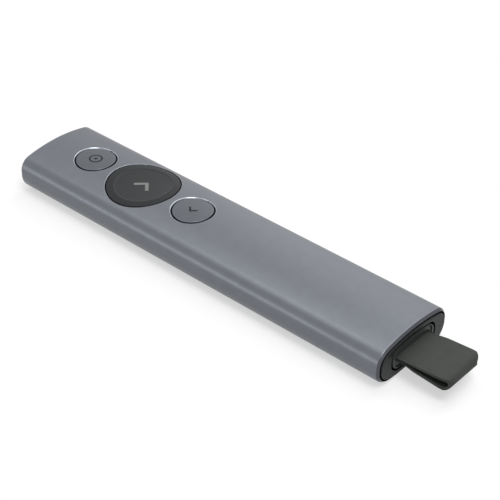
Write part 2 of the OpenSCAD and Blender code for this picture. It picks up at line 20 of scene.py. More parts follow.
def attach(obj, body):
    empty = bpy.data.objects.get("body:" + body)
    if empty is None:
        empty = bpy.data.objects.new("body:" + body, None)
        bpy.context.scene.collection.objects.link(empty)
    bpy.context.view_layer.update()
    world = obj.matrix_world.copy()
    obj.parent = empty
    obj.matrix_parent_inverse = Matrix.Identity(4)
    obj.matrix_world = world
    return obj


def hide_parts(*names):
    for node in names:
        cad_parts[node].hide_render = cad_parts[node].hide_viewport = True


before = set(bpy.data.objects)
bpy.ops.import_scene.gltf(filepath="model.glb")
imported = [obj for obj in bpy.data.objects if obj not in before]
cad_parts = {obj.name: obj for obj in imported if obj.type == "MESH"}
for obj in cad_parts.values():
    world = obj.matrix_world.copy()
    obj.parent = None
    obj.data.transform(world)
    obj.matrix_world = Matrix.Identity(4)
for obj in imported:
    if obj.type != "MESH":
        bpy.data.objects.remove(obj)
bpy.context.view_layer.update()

LOG = logging.getLogger("clicker")
MM = 0.001
TOUCH = 1e-4
HELD_APART = 1.0
KEY_GAP = 0.3

Point = tuple[float, float]
Triple = tuple[float, float, float]
Where = Callable[[Vector, Vector], bool]


class Body(Enum):
    """Bodies of the frame that a piece can ride on."""

    HOUSING = "housing"
    POINTER = "pointer_button"
    NEXT = "next_button"
    BACK = "back_button"
    RECEIVER = "receiver"


class Relief(Enum):
    """Ways in which a finish breaks up its surface."""

    BLASTED = "fine pits left by blasting"
    MOULDED = "soft grain of a spark-eroded mould"
    DRAWN = "lines left by drawing or rolling"
    WOVEN = "cloth under a thin skin of resin"
    CRINKLED = "slack foil over a soft core"


# Outlines


def draw_on(bm: BMesh, tip: BMVert, spot: Triple) -> BMVert:
    """Draws a straight line on from a vertex.

    Args:
        bm: the mesh in the making.
        tip: where the line starts.
        spot: where it ends.

    Returns:
        The vertex at its end.
    """
    end = bmesh.ops.extrude_vert_indiv(bm, verts=[tip])["verts"][0]
    end.co = spot
    return end


def swing(bm: BMesh, tip: BMVert, centre: Triple, axis: Triple, angle: float, steps: int) -> BMVert:
    """Draws an arc on from a vertex.

    Args:
        bm: the mesh in the making.
        tip: where the arc starts.
        centre: a point on the axis that it turns about.
        axis: the direction of that axis.
        angle: how far it turns, in radians.
        steps: how many edges it has.

    Returns:
        The vertex at its end.
    """
    spun = bmesh.ops.spin(bm, geom=[tip], cent=centre, axis=axis, angle=angle, steps=steps)
    return next(part for part in spun["geom_last"] if isinstance(part, BMVert))


class Outline:
    """A closed outline across the part, which can be drawn inset at any station along it."""

    def half(self, bm: BMesh, y: float, inset: float) -> None:
        """Draws the right half at a station, from the lowest point to the highest."""
        raise NotImplementedError

    def draw(self, bm: BMesh, y: float, inset: float) -> list[BMEdge]:
        """Draws the outline by mirroring its right half.

        Args:
            bm: the mesh in the making.
            y: the station along the part.
            inset: how far inside the plain outline it lies.

        Returns:
            The edges of the closed outline.
        """
        old_verts, old_edges = set(bm.verts), set(bm.edges)
        self.half(bm, y, inset)
        drawn = [v for v in bm.verts if v not in old_verts] + [e for e in bm.edges if e not in old_edges]
        bmesh.ops.mirror(bm, geom=drawn, axis="X", merge_dist=TOUCH)
        return [e for e in bm.edges if e not in old_edges]


@dataclass(frozen=True)
class CrownedBar(Outline):
    """Section of a bar with a crowned top, round shoulders and heels, and a belly with a flat."""

    width: float
    height: float
    crown_r: float
    shoulder_r: float
    belly_r: float
    heel_r: float
    flat: float
    lift: float = 0.0
    crown_steps: int = 44
    corner_steps: int = 20
    belly_steps: int = 8

    def centres(self) -> tuple[Point, Point, Point, Point]:
        """Works out the centres of the section's arcs.

        Returns:
            Those of the belly, heel, shoulder and crown, as x and z.
        """
        sx = self.width / 2 - self.shoulder_r
        crown_z = self.height - self.crown_r
        sz = crown_z + sqrt((self.crown_r - self.shoulder_r) ** 2 - sx**2)
        hx = self.width / 2 - self.heel_r
        hz = self.belly_r - sqrt((self.belly_r - self.heel_r) ** 2 - (hx - self.flat / 2) ** 2)
        return (self.flat / 2, self.belly_r), (hx, hz), (sx, sz), (0.0, crown_z)

    def half(self, bm: BMesh, y: float, inset: float) -> None:
        """Draws the right half at a station, from the flat up to the crown.

        Args:
            bm: the mesh in the making.
            y: the station along the part.
            inset: how far inside the plain outline it lies.
        """
        belly, heel, shoulder, crown = self.centres()
        to_heel = atan2(heel[1] - belly[1], heel[0] - belly[0])
        to_crown = atan2(shoulder[1] - crown[1], shoulder[0] - crown[0])
        tip = bm.verts.new((0.0, y, self.lift + inset))
        tip = draw_on(bm, tip, (self.flat / 2, y, self.lift + inset))
        for centre, start, end, steps in (
            (belly, -pi / 2, to_heel, self.belly_steps),
            (heel, to_heel, 0.0, self.corner_steps),
            (shoulder, 0.0, to_crown, self.corner_steps),
            (crown, to_crown, pi / 2, self.crown_steps),
        ):
            if centre is shoulder:
                tip = draw_on(bm, tip, (self.width / 2 - inset, y, self.lift + shoulder[1]))
            pivot = (centre[0], y, self.lift + centre[1])
            tip = swing(bm, tip, pivot, (0, -1, 0), end - start, steps)

    def top(self, x: float) -> float:
        """Finds how high the top is.

        Args:
            x: distance from the middle.

        Returns:
            The height there.
        """
        _, _, shoulder, crown = self.centres()
        edge = self.crown_r * cos(atan2(shoulder[1] - crown[1], shoulder[0] - crown[0]))
        if abs(x) < edge:
            return self.lift + crown[1] + sqrt(self.crown_r**2 - x**2)
        return self.lift + shoulder[1] + sqrt(max(self.shoulder_r**2 - (abs(x) - shoulder[0]) ** 2, 0.0))


@dataclass(frozen=True)
class RoundedSlot(Outline):
    """A rectangle with round corners, centred over the part's middle line."""

    width: float
    height: float
    corner_r: float
    middle: float
    steps: int = 10

    def half(self, bm: BMesh, y: float, inset: float) -> None:
        """Draws the right half at a station, from the bottom up to the top.

        Args:
            bm: the mesh in the making.
            y: the station along the part.
            inset: how far inside the plain outline it lies.
        """
        x, z = self.width / 2 - inset, self.height / 2 - inset
        r = max(self.corner_r - inset, TOUCH)
        tip = bm.verts.new((0.0, y, self.middle - z))
        tip = draw_on(bm, tip, (x - r, y, self.middle - z))
        tip = swing(bm, tip, (x - r, y, self.middle - z + r), (0, -1, 0), pi / 2, self.steps)
        if z - r > TOUCH:
            tip = draw_on(bm, tip, (x, y, self.middle + z - r))
        tip = swing(bm, tip, (x - r, y, self.middle + z - r), (0, -1, 0), pi / 2, self.steps)
        draw_on(bm, tip, (0.0, y, self.middle + z))


@dataclass(frozen=True)
class Station:
    """One outline of a loft: how far it is inset, where it stands and how round its edge is."""

    outline: Outline
    inset: float
    y: float
    round_r: float = 0.0


# Finishes


def from_screen(colour: tuple[int, int, int]) -> Triple:
    """Turns a colour as a screen shows it, 0 to 255, into the linear light of a shader."""
    shares = (channel / 255 for channel in colour)
    return tuple(s / 12.92 if s <= 0.04045 else ((s + 0.055) / 1.055) ** 2.4 for s in shares)


@dataclass(frozen=True)
class Finish:
    """A surface finish, made from Object coordinates alone.

    The colour wanders by tone, in patches tone_size across. The gloss wanders by gloss_play. The
    relief is relief_depth deep, in features relief_size across.
    """

    slot: str
    colour: tuple[int, int, int]
    roughness: float
    relief: Relief = Relief.MOULDED
    metallic: float = 0.0
    specular: float = 0.5
    tone: float = 0.06
    tone_size: float = 3.0
    gloss_play: float = 0.04
    relief_size: float = 0.18
    relief_depth: float = 0.004
    coat: float = 0.0
    sheen: float = 0.0
    name: str = ""

    def material(self) -> bpy.types.Material:
        """Builds the finish, once.

        Returns:
            Its material, ready for a piece.
        """
        name = f"look_{self.name or self.slot}"
        made = bpy.data.materials.get(name)
        if made:
            return made
        made = bpy.data.materials.new(name)
        made.use_nodes = True
        self.dress(made.node_tree)
        return made

    def dress(self, tree: bpy.types.NodeTree) -> None:
        """Adds the nodes of the finish.

        Args:
            tree: the material's tree.
        """
        shader = tree.nodes["Principled BSDF"]
        shader.inputs["Metallic"].default_value = self.metallic
        shader.inputs["Specular IOR Level"].default_value = self.specular
        shader.inputs["Coat Weight"].default_value = self.coat
        shader.inputs["Coat Roughness"].default_value = self.roughness / 2
        shader.inputs["Sheen Weight"].default_value = self.sheen
        shader.inputs["Sheen Roughness"].default_value = self.roughness
        place = tree.nodes.new("ShaderNodeTexCoord").outputs["Object"]
        patches = self.noise(tree, place, self.tone_size, 3.0)
        base = from_screen(self.colour)
        ramp = tree.nodes.new("ShaderNodeValToRGB")
        for end, share in zip(ramp.color_ramp.elements, (1 - self.tone, 1 + self.tone)):
            end.color = (*(channel * share for channel in base), 1.0)
        ramp.color_ramp.elements[0].position, ramp.color_ramp.elements[1].position = 0.3, 0.7
        tree.links.new(patches, ramp.inputs["Fac"])
        tree.links.new(ramp.outputs["Color"], shader.inputs["Base Color"])
        height = self.height(tree, place)
        gloss = tree.nodes.new("ShaderNodeMapRange")
        gloss.inputs["To Min"].default_value = max(self.roughness - self.gloss_play, 0.0)
        gloss.inputs["To Max"].default_value = self.roughness + self.gloss_play
        tree.links.new(height, gloss.inputs["Value"])
        tree.links.new(gloss.outputs["Result"], shader.inputs["Roughness"])
        bump = tree.nodes.new("ShaderNodeBump")
        bump.inputs["Strength"].default_value = 1.0
        bump.inputs["Distance"].default_value = self.relief_depth * MM
        tree.links.new(height, bump.inputs["Height"])
        tree.links.new(bump.outputs["Normal"], shader.inputs["Normal"])

    def noise(self, tree: bpy.types.NodeTree, place: bpy.types.NodeSocket, size: float,
              detail: float) -> bpy.types.NodeSocket:
        """Adds soft noise.

        Args:
            tree: the material's tree.
            place: the coordinates that it reads.
            size: how large its features are, in millimetres.
            detail: how many finer octaves it has.

        Returns:
            Its value.
        """
        texture = tree.nodes.new("ShaderNodeTexNoise")
        texture.inputs["Scale"].default_value = 1 / (size * MM)
        texture.inputs["Detail"].default_value = detail
        tree.links.new(place, texture.inputs["Vector"])
        return texture.outputs["Fac"]

    def height(self, tree: bpy.types.NodeTree, place: bpy.types.NodeSocket) -> bpy.types.NodeSocket:
        """Adds the pattern of the relief.

        Args:
            tree: the material's tree.
            place: the coordinates that it reads.

        Returns:
            Its height.
        """
        if self.relief is Relief.BLASTED:
            pits = tree.nodes.new("ShaderNodeTexVoronoi")
            pits.feature = "SMOOTH_F1"
            pits.inputs["Scale"].default_value = 1 / (self.relief_size * MM)
            tree.links.new(place, pits.inputs["Vector"])
            return pits.outputs["Distance"]
        if self.relief is Relief.DRAWN:
            stretch = tree.nodes.new("ShaderNodeMapping")
            stretch.inputs["Scale"].default_value = (1.0, 0.04, 1.0)
            tree.links.new(place, stretch.inputs["Vector"])
            return self.noise(tree, stretch.outputs["Vector"], self.relief_size, 4.0)
        if self.relief is Relief.WOVEN:
            weave = tree.nodes.new("ShaderNodeTexBrick")
            weave.inputs["Scale"].default_value = 1 / (self.relief_size * MM)
            weave.inputs["Mortar Size"].default_value = 0.1
            tree.links.new(place, weave.inputs["Vector"])
            return weave.outputs["Fac"]
        if self.relief is Relief.CRINKLED:
            folds = tree.nodes.new("ShaderNodeTexVoronoi")
            folds.feature = "DISTANCE_TO_EDGE"
            folds.inputs["Scale"].default_value = 1 / (self.relief_size * MM)
            tree.links.new(place, folds.inputs["Vector"])
            return folds.outputs["Distance"]
        return self.noise(tree, place, self.relief_size, 2.0)


class Finishes:
    """Every finish on the clicker, with painted shade and a painted highlight among them."""

    SLEEVE = Finish("sleeve_aluminium", (108, 111, 117), 0.35, Relief.BLASTED, metallic=0.9, tone=0.03,
                    relief_size=0.09, relief_depth=0.0015, gloss_play=0.03)
    # Painted shade: the sleeve's own aluminium drawn darker on the end bevels, standing in for the dark
    # surroundings mirrored there.
    PAINTED_BEVEL_SHADE = Finish("sleeve_aluminium", (80, 82, 87), 0.25, metallic=1.0, tone=0.02, relief_depth=0.0005,
                      name="painted_bevel_shade")
    # Painted highlight: the sleeve's own aluminium drawn much lighter on the key holes' flares, standing in
    # for the light that they catch.
    PAINTED_RIM_HIGHLIGHT = Finish("sleeve_aluminium", (150, 154, 162), 0.18, metallic=1.0, tone=0.02,
                       relief_depth=0.0005, name="painted_rim_highlight")
    KEY_METAL = Finish("key_aluminium", (93, 96, 101), 0.35, Relief.BLASTED, metallic=0.9, tone=0.03,
                       relief_size=0.09, relief_depth=0.0015, gloss_play=0.03)
    KEY_PLASTIC = Finish("key_plastic", (41, 43, 44), 0.42, relief_depth=0.002, specular=0.2)
    KEY_RING = Finish("key_plastic", (29, 31, 33), 0.42, relief_depth=0.002, specular=0.2, name="key_ring")
    PLATE = Finish("cap_plastic", (39, 41, 41), 0.45, specular=0.2)
    RECEIVER = Finish("receiver_plastic", (70, 72, 71), 0.45, specular=0.2)
    RUBBER = Finish("strap_rubber", (62, 65, 62), 0.62, specular=0.2, sheen=0.03)
    INNER = Finish("inner_plastic", (28, 28, 29), 0.55)
    # Painted shade: near-black put on faces in gaps, key holes, rebates and slots, where shadow falls.
    SHADOW = Finish("inner_plastic", (14, 14, 15), 0.8, specular=0.1, name="painted_shade")
    BOARD = Finish("board_laminate", (22, 74, 44), 0.35, Relief.WOVEN, relief_size=0.5)
    STEEL = Finish("plated_steel", (190, 192, 196), 0.25, Relief.DRAWN, metallic=1.0, relief_depth=0.001)
    GOLD = Finish("contact_metal", (212, 175, 88), 0.22, Relief.DRAWN, metallic=1.0, relief_depth=0.001)
    PLUNGER = Finish("plunger_plastic", (176, 168, 140), 0.5)
    POUCH = Finish("cell_pouch", (170, 172, 176), 0.3, Relief.CRINKLED, metallic=1.0, relief_size=4.0,
                   relief_depth=0.03)
    FOAM = Finish("foam", (34, 34, 35), 0.9, relief_size=0.4, relief_depth=0.08)
    CERAMIC = Finish("antenna_ceramic", (214, 210, 196), 0.4)
    DARK_INK = Finish("inner_plastic", (20, 22, 25), 0.6, specular=0.2, name="dark_ink")
    PALE_INK = Finish("plunger_plastic", (130, 133, 131), 0.5, specular=0.2, name="pale_ink")


# Meshes


@dataclass
class Mould:
    """A mesh in the making, in millimetres."""

    name: str
    bm: BMesh = field(default_factory=bmesh.new)

    def loft(self, stations: Sequence[Station], closed: bool) -> list[list[BMEdge]]:
        """Bridges outlines in order and rounds the edges that ask for it.

        Args:
            stations: the outlines, in the order that they are joined in.
            closed: whether the last is joined to the first.

        Returns:
            The edges of each outline. Those of a rounded one are no longer there.
        """
        rings = [s.outline.draw(self.bm, s.y, s.inset) for s in stations]
        count = len(rings)
        for i in range(count if closed else count - 1):
            after = (i + 1) % count
            self.join(rings[i], rings[after], abs(stations[i].y - stations[after].y) < TOUCH)
        for radius in sorted({s.round_r for s in stations if s.round_r}):
            edges = [e for ring, s in zip(rings, stations) if s.round_r == radius for e in ring]
            self.round_off(edges, radius)
        return rings

    def join(self, first: Sequence[BMEdge], second: Sequence[BMEdge], level: bool) -> None:
        """Bridges two rings of edges.

        Args:
            first: one ring.
            second: the other.
            level: whether they lie in one plane. They are then held apart meanwhile, or they join reversed.
        """
        held = list({vert for edge in second for vert in edge.verts})
        gap = HELD_APART if level else 0.0
        bmesh.ops.translate(self.bm, vec=(0, gap, 0), verts=held)
        bmesh.ops.bridge_loops(self.bm, edges=[*first, *second])
        bmesh.ops.translate(self.bm, vec=(0, -gap, 0), verts=held)

    def round_off(self, edges: Sequence[BMEdge], radius: float, segments: int = 3) -> None:
        """Rounds edges off to a radius."""
        bmesh.ops.bevel(self.bm, geom=list(edges), offset=radius, segments=segments, profile=0.5,
                        affect="EDGES", material=-1, clamp_overlap=True)

    def turn(self, profile: Sequence[Point], y: float, sides: int = 96) -> None:
        """Turns a profile once round an upright axis on the part's middle line.

        Args:
            profile: radius and height of its points, in order.
            y: the axis's place along the part.
            sides: how many sides the turned shape has.
        """
        tip = self.bm.verts.new((profile[0][0], y, profile[0][1]))
        chain: list[BMVert] = [tip]
        for radius, height in profile[1:]:
            chain.append(draw_on(self.bm, chain[-1], (radius, y, height)))
        edges = list({edge for vert in chain for edge in vert.link_edges})
        bmesh.ops.spin(self.bm, geom=chain + edges, cent=(0, y, 0), axis=(0, 0, 1), angle=tau, steps=sides,
                       use_merge=True)
        bmesh.ops.remove_doubles(self.bm, verts=self.bm.verts, dist=TOUCH)

    def drape(self, height: Callable[[float, float], float]) -> None:
        """Lifts every vertex by the height of a surface over it."""
        for vert in self.bm.verts:
            vert.co.z += height(vert.co.x, vert.co.y)

    def cap(self, edges: Sequence[BMEdge]) -> None:
        """Closes a ring of edges with one face."""
        bmesh.ops.contextual_create(self.bm, geom=list(edges))

    def object(self) -> bpy.types.Object:
        """Turns the mesh into an object at the origin, in metres, with its faces outwards.

        Returns:
            The object.
        """
        bmesh.ops.remove_doubles(self.bm, verts=self.bm.verts, dist=TOUCH)
        bmesh.ops.recalc_face_normals(self.bm, faces=self.bm.faces)
        bmesh.ops.scale(self.bm, vec=(MM, MM, MM), verts=self.bm.verts)
        mesh = bpy.data.meshes.new(self.name)
        self.bm.to_mesh(mesh)
        self.bm.free()
        made = bpy.data.objects.new(self.name, mesh)
        bpy.context.scene.collection.objects.link(made)
        return made

    def cast(self, body: Body, finish: Finish, *nodes: str, cutters: Sequence["Mould"] = (),
             trims: Sequence[tuple[Finish, Where]] = ()) -> bpy.types.Object:
        """Finishes the mesh as a piece of the clicker.

        Args:
            body: what it rides on.
            finish: what it is dressed in.
            nodes: the CAD nodes that it stands for.
            cutters: shapes that are taken out of it.
            trims: further finishes, each with what tells by a face's middle, in millimetres, and its normal
                whether the face has it. The last that fits counts.

        Returns:
            The piece.
        """
        piece = self.object()
        for cutter in cutters:
            cut_out(piece, cutter.object())
        shade(piece)
        piece.data.materials.clear()
        piece.data.materials.append(finish.material())
        for face in piece.data.polygons:
            face.material_index = 0
        for index, (trim, fits) in enumerate(trims, 1):
            piece.data.materials.append(trim.material())
            for face in piece.data.polygons:
                if fits(face.center / MM, face.normal):
                    face.material_index = index
        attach(piece, body.value)
        if nodes:
            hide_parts(*nodes)
        LOG.info("%s: %d faces, rides on %s", self.name, len(piece.data.polygons), body.value)
        return piece


def cut_out(piece: bpy.types.Object, tool: bpy.types.Object) -> None:
    """Takes a tool's shape out of a piece, then throws the tool away.

    Args:
        piece: what is cut.
        tool: what cuts it.
    """
    cut = piece.modifiers.new("cut", "BOOLEAN")
    cut.operation = "DIFFERENCE"
    cut.solver = "EXACT"
    cut.object = tool
    bpy.context.view_layer.update()
    evaluated = piece.evaluated_get(bpy.context.evaluated_depsgraph_get())
    mesh = bpy.data.meshes.new_from_object(evaluated)
    mesh.name = piece.name
    piece.modifiers.clear()
    piece.data = mesh
    bpy.data.objects.remove(tool)


def shade(piece: bpy.types.Object, crease: float = 30.0) -> None:
    """Shades a piece smooth, with the large faces leading the small.

    Args:
        piece: what is shaded.
        crease: the angle from which an edge stays sharp, in degrees.
    """
    for face in piece.data.polygons:
        face.use_smooth = True
    piece.data.set_sharp_from_angle(angle=radians(crease))
    weigh = piece.modifiers.new("large faces lead", "WEIGHTED_NORMAL")
    weigh.keep_sharp = True
    weigh.weight = 100


# Housing


@dataclass(frozen=True)
class Hole:
    """A key's hole in the roof, with a flare that is wider than it is deep."""

    y: float
    radius: float
    flare: float
    flare_depth: float


@dataclass
class Housing:
    """The sleeve with its key holes, and the plates that close its two ends."""

    length: float = 131.3
    wall: float = 1.2
    end_bevel: float = 0.56
    end_bevel_l: float = 0.92
    lip_back: float = 0.25
    plate_t: float = 1.6
    rebate: float = 0.6
    plate_gap: float = 0.5
    lip_round: float = 0.1
    bevel_round: float = 0.15
    plate_round: float = 0.24
    hole_lead: float = 72.0
    shade_in: float = 0.06
    least_tilt: float = 0.3
    least_lean: float = 0.1
    round_steps: int = 8
    hole_sides: int = 120
    dock_gap: float = 0.3
    dock_t: float = 0.5
    dock_l: float = 26.0
    dock_floor: float = 0.8
    port_w: float = 8.94
    port_h: float = 3.16
    port_gap: float = 0.3
    spigot_l: float = 3.0
    spigot_t: float = 0.8
    spigot_gap: float = 0.1
    section: CrownedBar = CrownedBar(28.1, 12.1, 49.0, 4.27, 27.4, 5.22, 10.64)
    dock: CrownedBar = CrownedBar(17.5, 7.3, 60.0, 3.1, 60.0, 3.1, 4.375, 2.3)
    holes: tuple[Hole, ...] = (
        Hole(47.8, 6.05, 0.46, 0.55),
        Hole(28.5, 10.8, 0.2, 0.15),
        Hole(9.2, 6.05, 0.46, 0.55),
    )

    @property
    def end(self) -> float:
        """Distance from the middle to an end face."""
        return self.length / 2

    def build(self) -> None:
        """Builds the sleeve and its plates."""
        self.sleeve()
        self.front_plate()
        self.tail_plate()

    def sleeve(self) -> None:
        """Lofts the sleeve's skin, ends and bore in one closed run, and cuts the key holes."""
        mould = Mould("sleeve")
        run: list[Station] = []
        for side in (-1, 1):
            end = side * self.end
            lip = [
                Station(self.section, self.wall, end - side * self.plate_t),
                Station(self.section, self.rebate, end - side * self.plate_t),
                Station(self.section, self.rebate, end - side * self.lip_back),
                Station(self.section, self.end_bevel, end - side * self.lip_back),
                Station(self.section, 0.0, end - side * self.end_bevel_l, self.bevel_round),
            ]
            run += lip if side < 0 else lip[::-1]
        mould.loft(run, closed=True)
        # The key holes' flares wear a painted highlight, the end bevels painted shade, and faces in the
        # holes, rebates and bore near-black painted shade.
        mould.cast(Body.HOUSING, Finishes.SLEEVE, "shell", cutters=[self.hole_cutter(h) for h in self.holes],
                   trims=[(Finishes.PAINTED_RIM_HIGHLIGHT, self.in_flare), (Finishes.PAINTED_BEVEL_SHADE, self.in_bevel),
                          (Finishes.SHADOW, self.shaded_by_paint)])

    def hole_cutter(self, hole: Hole) -> Mould:
        """Shapes a key hole, flared by a fillet that follows the crown.

        Args:
            hole: the sizes of the hole.

        Returns:
            The shape that cuts it.
        """
        cutter = Mould("hole_cutter")
        lead = radians(self.hole_lead)
        turns = [lead * i / self.round_steps for i in range(self.round_steps + 1)]
        arc = [(hole.radius + hole.flare * (1 - cos(turn)), hole.flare_depth * (sin(turn) - 1))
               for turn in turns]
        rise = hole.flare_depth - arc[-1][1]
        rim_r = arc[-1][0] + rise * (hole.flare * sin(lead)) / (hole.flare_depth * cos(lead))
        half = self.section.height / 2
        top = [(rim_r, hole.flare_depth), (rim_r, half), (0.0, half)]
        cutter.turn([(0.0, -half), (hole.radius, -half), *arc, *top], hole.y, self.hole_sides)
        cutter.drape(lambda x, y: self.section.top(x))
        return cutter

    def in_flare(self, spot: Vector, normal: Vector) -> bool:
        """Tells whether a face of the sleeve belongs to a key hole's flare.

        Args:
            spot: the face's middle.
            normal: its normal.

        Returns:
            Whether it does.
        """
        for hole in self.holes:
            away = Vector((spot.x, spot.y - hole.y, 0.0))
            if away.length < hole.radius + hole.flare and normal.dot(away.normalized()) < -self.least_lean:
                return True
        return False

    def in_bevel(self, spot: Vector, normal: Vector) -> bool:
        """Tells whether a face of the sleeve is part of the bevel at one of its ends."""
        return abs(spot.y) > self.end - self.end_bevel_l - TOUCH and abs(normal.y) > self.least_tilt

    def shaded_by_paint(self, spot: Vector, normal: Vector) -> bool:
        """Tells whether a face of the sleeve lies in a key hole, a rebate or the bore, where it wears painted
        shade.

        Args:
            spot: the face's middle.
            normal: its normal.

        Returns:
            Whether it does.
        """
        if any(hypot(spot.x, spot.y - hole.y) < hole.radius + self.shade_in for hole in self.holes):
            return True
        inward = normal.x * spot.x + normal.z * (spot.z - self.section.height / 2) < 0
        return inward and abs(normal.y) < self.shade_in

    def plate_edge(self, end: float, side: int) -> list[Station]:
        """Lays out the edge of an end plate, from its face to its back.

        Args:
            end: the place of its face along the part.
            side: 1 for the front plate, -1 for the tail's.

        Returns:
            The edge's outlines.
        """
        inset = self.rebate + self.plate_gap
        return [
            Station(self.section, inset, end, self.plate_round),
            Station(self.section, inset, end - side * self.plate_t),
        ]

    def edge_shaded_by_paint(self, spot: Vector, normal: Vector) -> bool:
        """Tells whether a face of an end plate lies in the groove round it or behind it, where it wears
        painted shade.
        """
        return abs(spot.y) < self.end - self.plate_round

    def front_plate(self) -> None:
        """Closed plate at the front, with the spigot that holds it."""
        mould = Mould("front_plate")
        back = self.end - self.plate_t
        inset = self.wall + self.spigot_gap
        rings = mould.loft([
            *self.plate_edge(self.end, 1),
            Station(self.section, inset, back),
            Station(self.section, inset, back - self.spigot_l),
            Station(self.section, inset + self.spigot_t, back - self.spigot_l),
            Station(self.section, inset + self.spigot_t, back),
        ], closed=False)
        mould.cap(rings[-1])
        mould.cap([e for e in mould.bm.edges if e.is_boundary])
        # The plate's sides in the groove wear painted shade.
        mould.cast(Body.HOUSING, Finishes.PLATE, "front_cap", trims=[(Finishes.SHADOW, self.edge_shaded_by_paint)])

    def tail_plate(self) -> None:
        """Plate at the tail with the receiver's dock behind it, in one closed run."""
        mould = Mould("tail_plate")
        tail = -self.end
        dock_end = tail + self.dock_l
        dock_back = dock_end + self.dock_floor
        port = RoundedSlot(self.port_w, self.port_h, self.port_h / 2, self.dock.lift + self.dock.height / 2)
        outer = -self.dock_gap - self.dock_t
        mould.loft([
            *self.plate_edge(tail, -1),
            Station(self.dock, outer, tail + self.plate_t),
            Station(self.dock, outer, dock_back),
            Station(port, -self.port_gap, dock_back),
            Station(port, -self.port_gap, dock_end),
            Station(self.dock, -self.dock_gap, dock_end),
            Station(self.dock, -self.dock_gap, tail, self.lip_round),
        ], closed=True)
        # The plate's sides in the groove and the dock behind it wear painted shade.
        mould.cast(Body.HOUSING, Finishes.PLATE, "tail_cap", "dock_sleeve",
                   trims=[(Finishes.SHADOW, self.edge_shaded_by_paint)])


# Keys


@dataclass
class Key:
    """A round key that follows the crown, plain or dished, with its mark on top."""

    node: str
    body: Body
    hole: Hole
    finish: Finish
    ring_finish: Finish
    section: CrownedBar
    dish_r: float = 0.0
    dish_depth: float = 0.7
    dish_rim: float = 0.12
    rim_round: float = 0.25
    edge_round: float = 0.15
    edge_t: float = 0.8
    ring_step: float = 0.5
    round_steps: int = 5

    @property
    def y(self) -> float:
        """Place of the key along the part."""
        return self.hole.y

    @property
    def radius(self) -> float:
        """Radius of the key, a gap smaller than its hole's."""
        return self.hole.radius - KEY_GAP

    def drop(self, r: float) -> float:
        """Finds how far the key's face lies below the crown.

        Args:
            r: distance from the key's middle.

        Returns:
            The depth there.
        """
        if r >= self.dish_r:
            return 0.0
        return self.dish_rim + (self.dish_depth - self.dish_rim) * (1 - (r / self.dish_r) ** 2)

    def surface(self, x: float, y: float) -> float:
        """Height of the key's face over a point."""
        return self.section.top(x) - self.drop(hypot(x, y - self.y))

    def profile(self) -> list[Point]:
        """Lays out the key's face from its middle to its rim.

        Returns:
            The radius of each point and its height above the crown.
        """
        flat_r = self.radius - self.edge_round
        inner = self.dish_r - self.rim_round if self.dish_r else 0.0
        count = max(int(inner / self.ring_step), 1)
        points = [(0.0, 0.0)]
        if inner:
            points = [(inner * i / count, -self.drop(inner * i / count)) for i in range(count + 1)]
            points.append((self.dish_r, 0.0))
        start = points[-1][0]
        count = max(int((flat_r - start) / self.ring_step), 1)
        points += [(start + (flat_r - start) * i / count, 0.0) for i in range(1, count + 1)]
        for i in range(1, self.round_steps + 1):
            a = pi / 2 * i / self.round_steps
            points.append((flat_r + self.edge_round * sin(a), self.edge_round * (cos(a) - 1)))
        return points

    def build(self) -> None:
        """Turns the key's face, follows the crown with it and closes it on its seat."""
        mould = Mould(self.node.replace("_cap", "_key"))
        mould.turn(self.profile(), self.y)
        mould.drape(lambda x, y: self.section.top(x))
        seat = self.section.top(self.radius) - self.edge_t
        rim = [e for e in mould.bm.edges if e.is_boundary]
        made = bmesh.ops.extrude_edge_only(mould.bm, edges=rim)["geom"]
        for vert in made:
            if isinstance(vert, BMVert):
                vert.co.z = seat
        mould.cap([e for e in made if isinstance(e, BMEdge) and e.is_boundary])
        # The key's skirt and seat wear painted shade, seen as a dark gap round it.
        mould.cast(self.body, self.finish, self.node,
                   trims=[(self.ring_finish, self.on_ring), (Finishes.SHADOW, self.shaded_by_paint)])

    def on_ring(self, spot: Vector, normal: Vector) -> bool:
        """Tells whether a face of the key lies outside its dish."""
        return hypot(spot.x, spot.y - self.y) > self.dish_r

    def shaded_by_paint(self, spot: Vector, normal: Vector) -> bool:
        """Tells whether a face of the key is part of its skirt or its seat, which wear painted shade."""
        return hypot(spot.x, spot.y - self.y) > self.radius - TOUCH or normal.z < 0


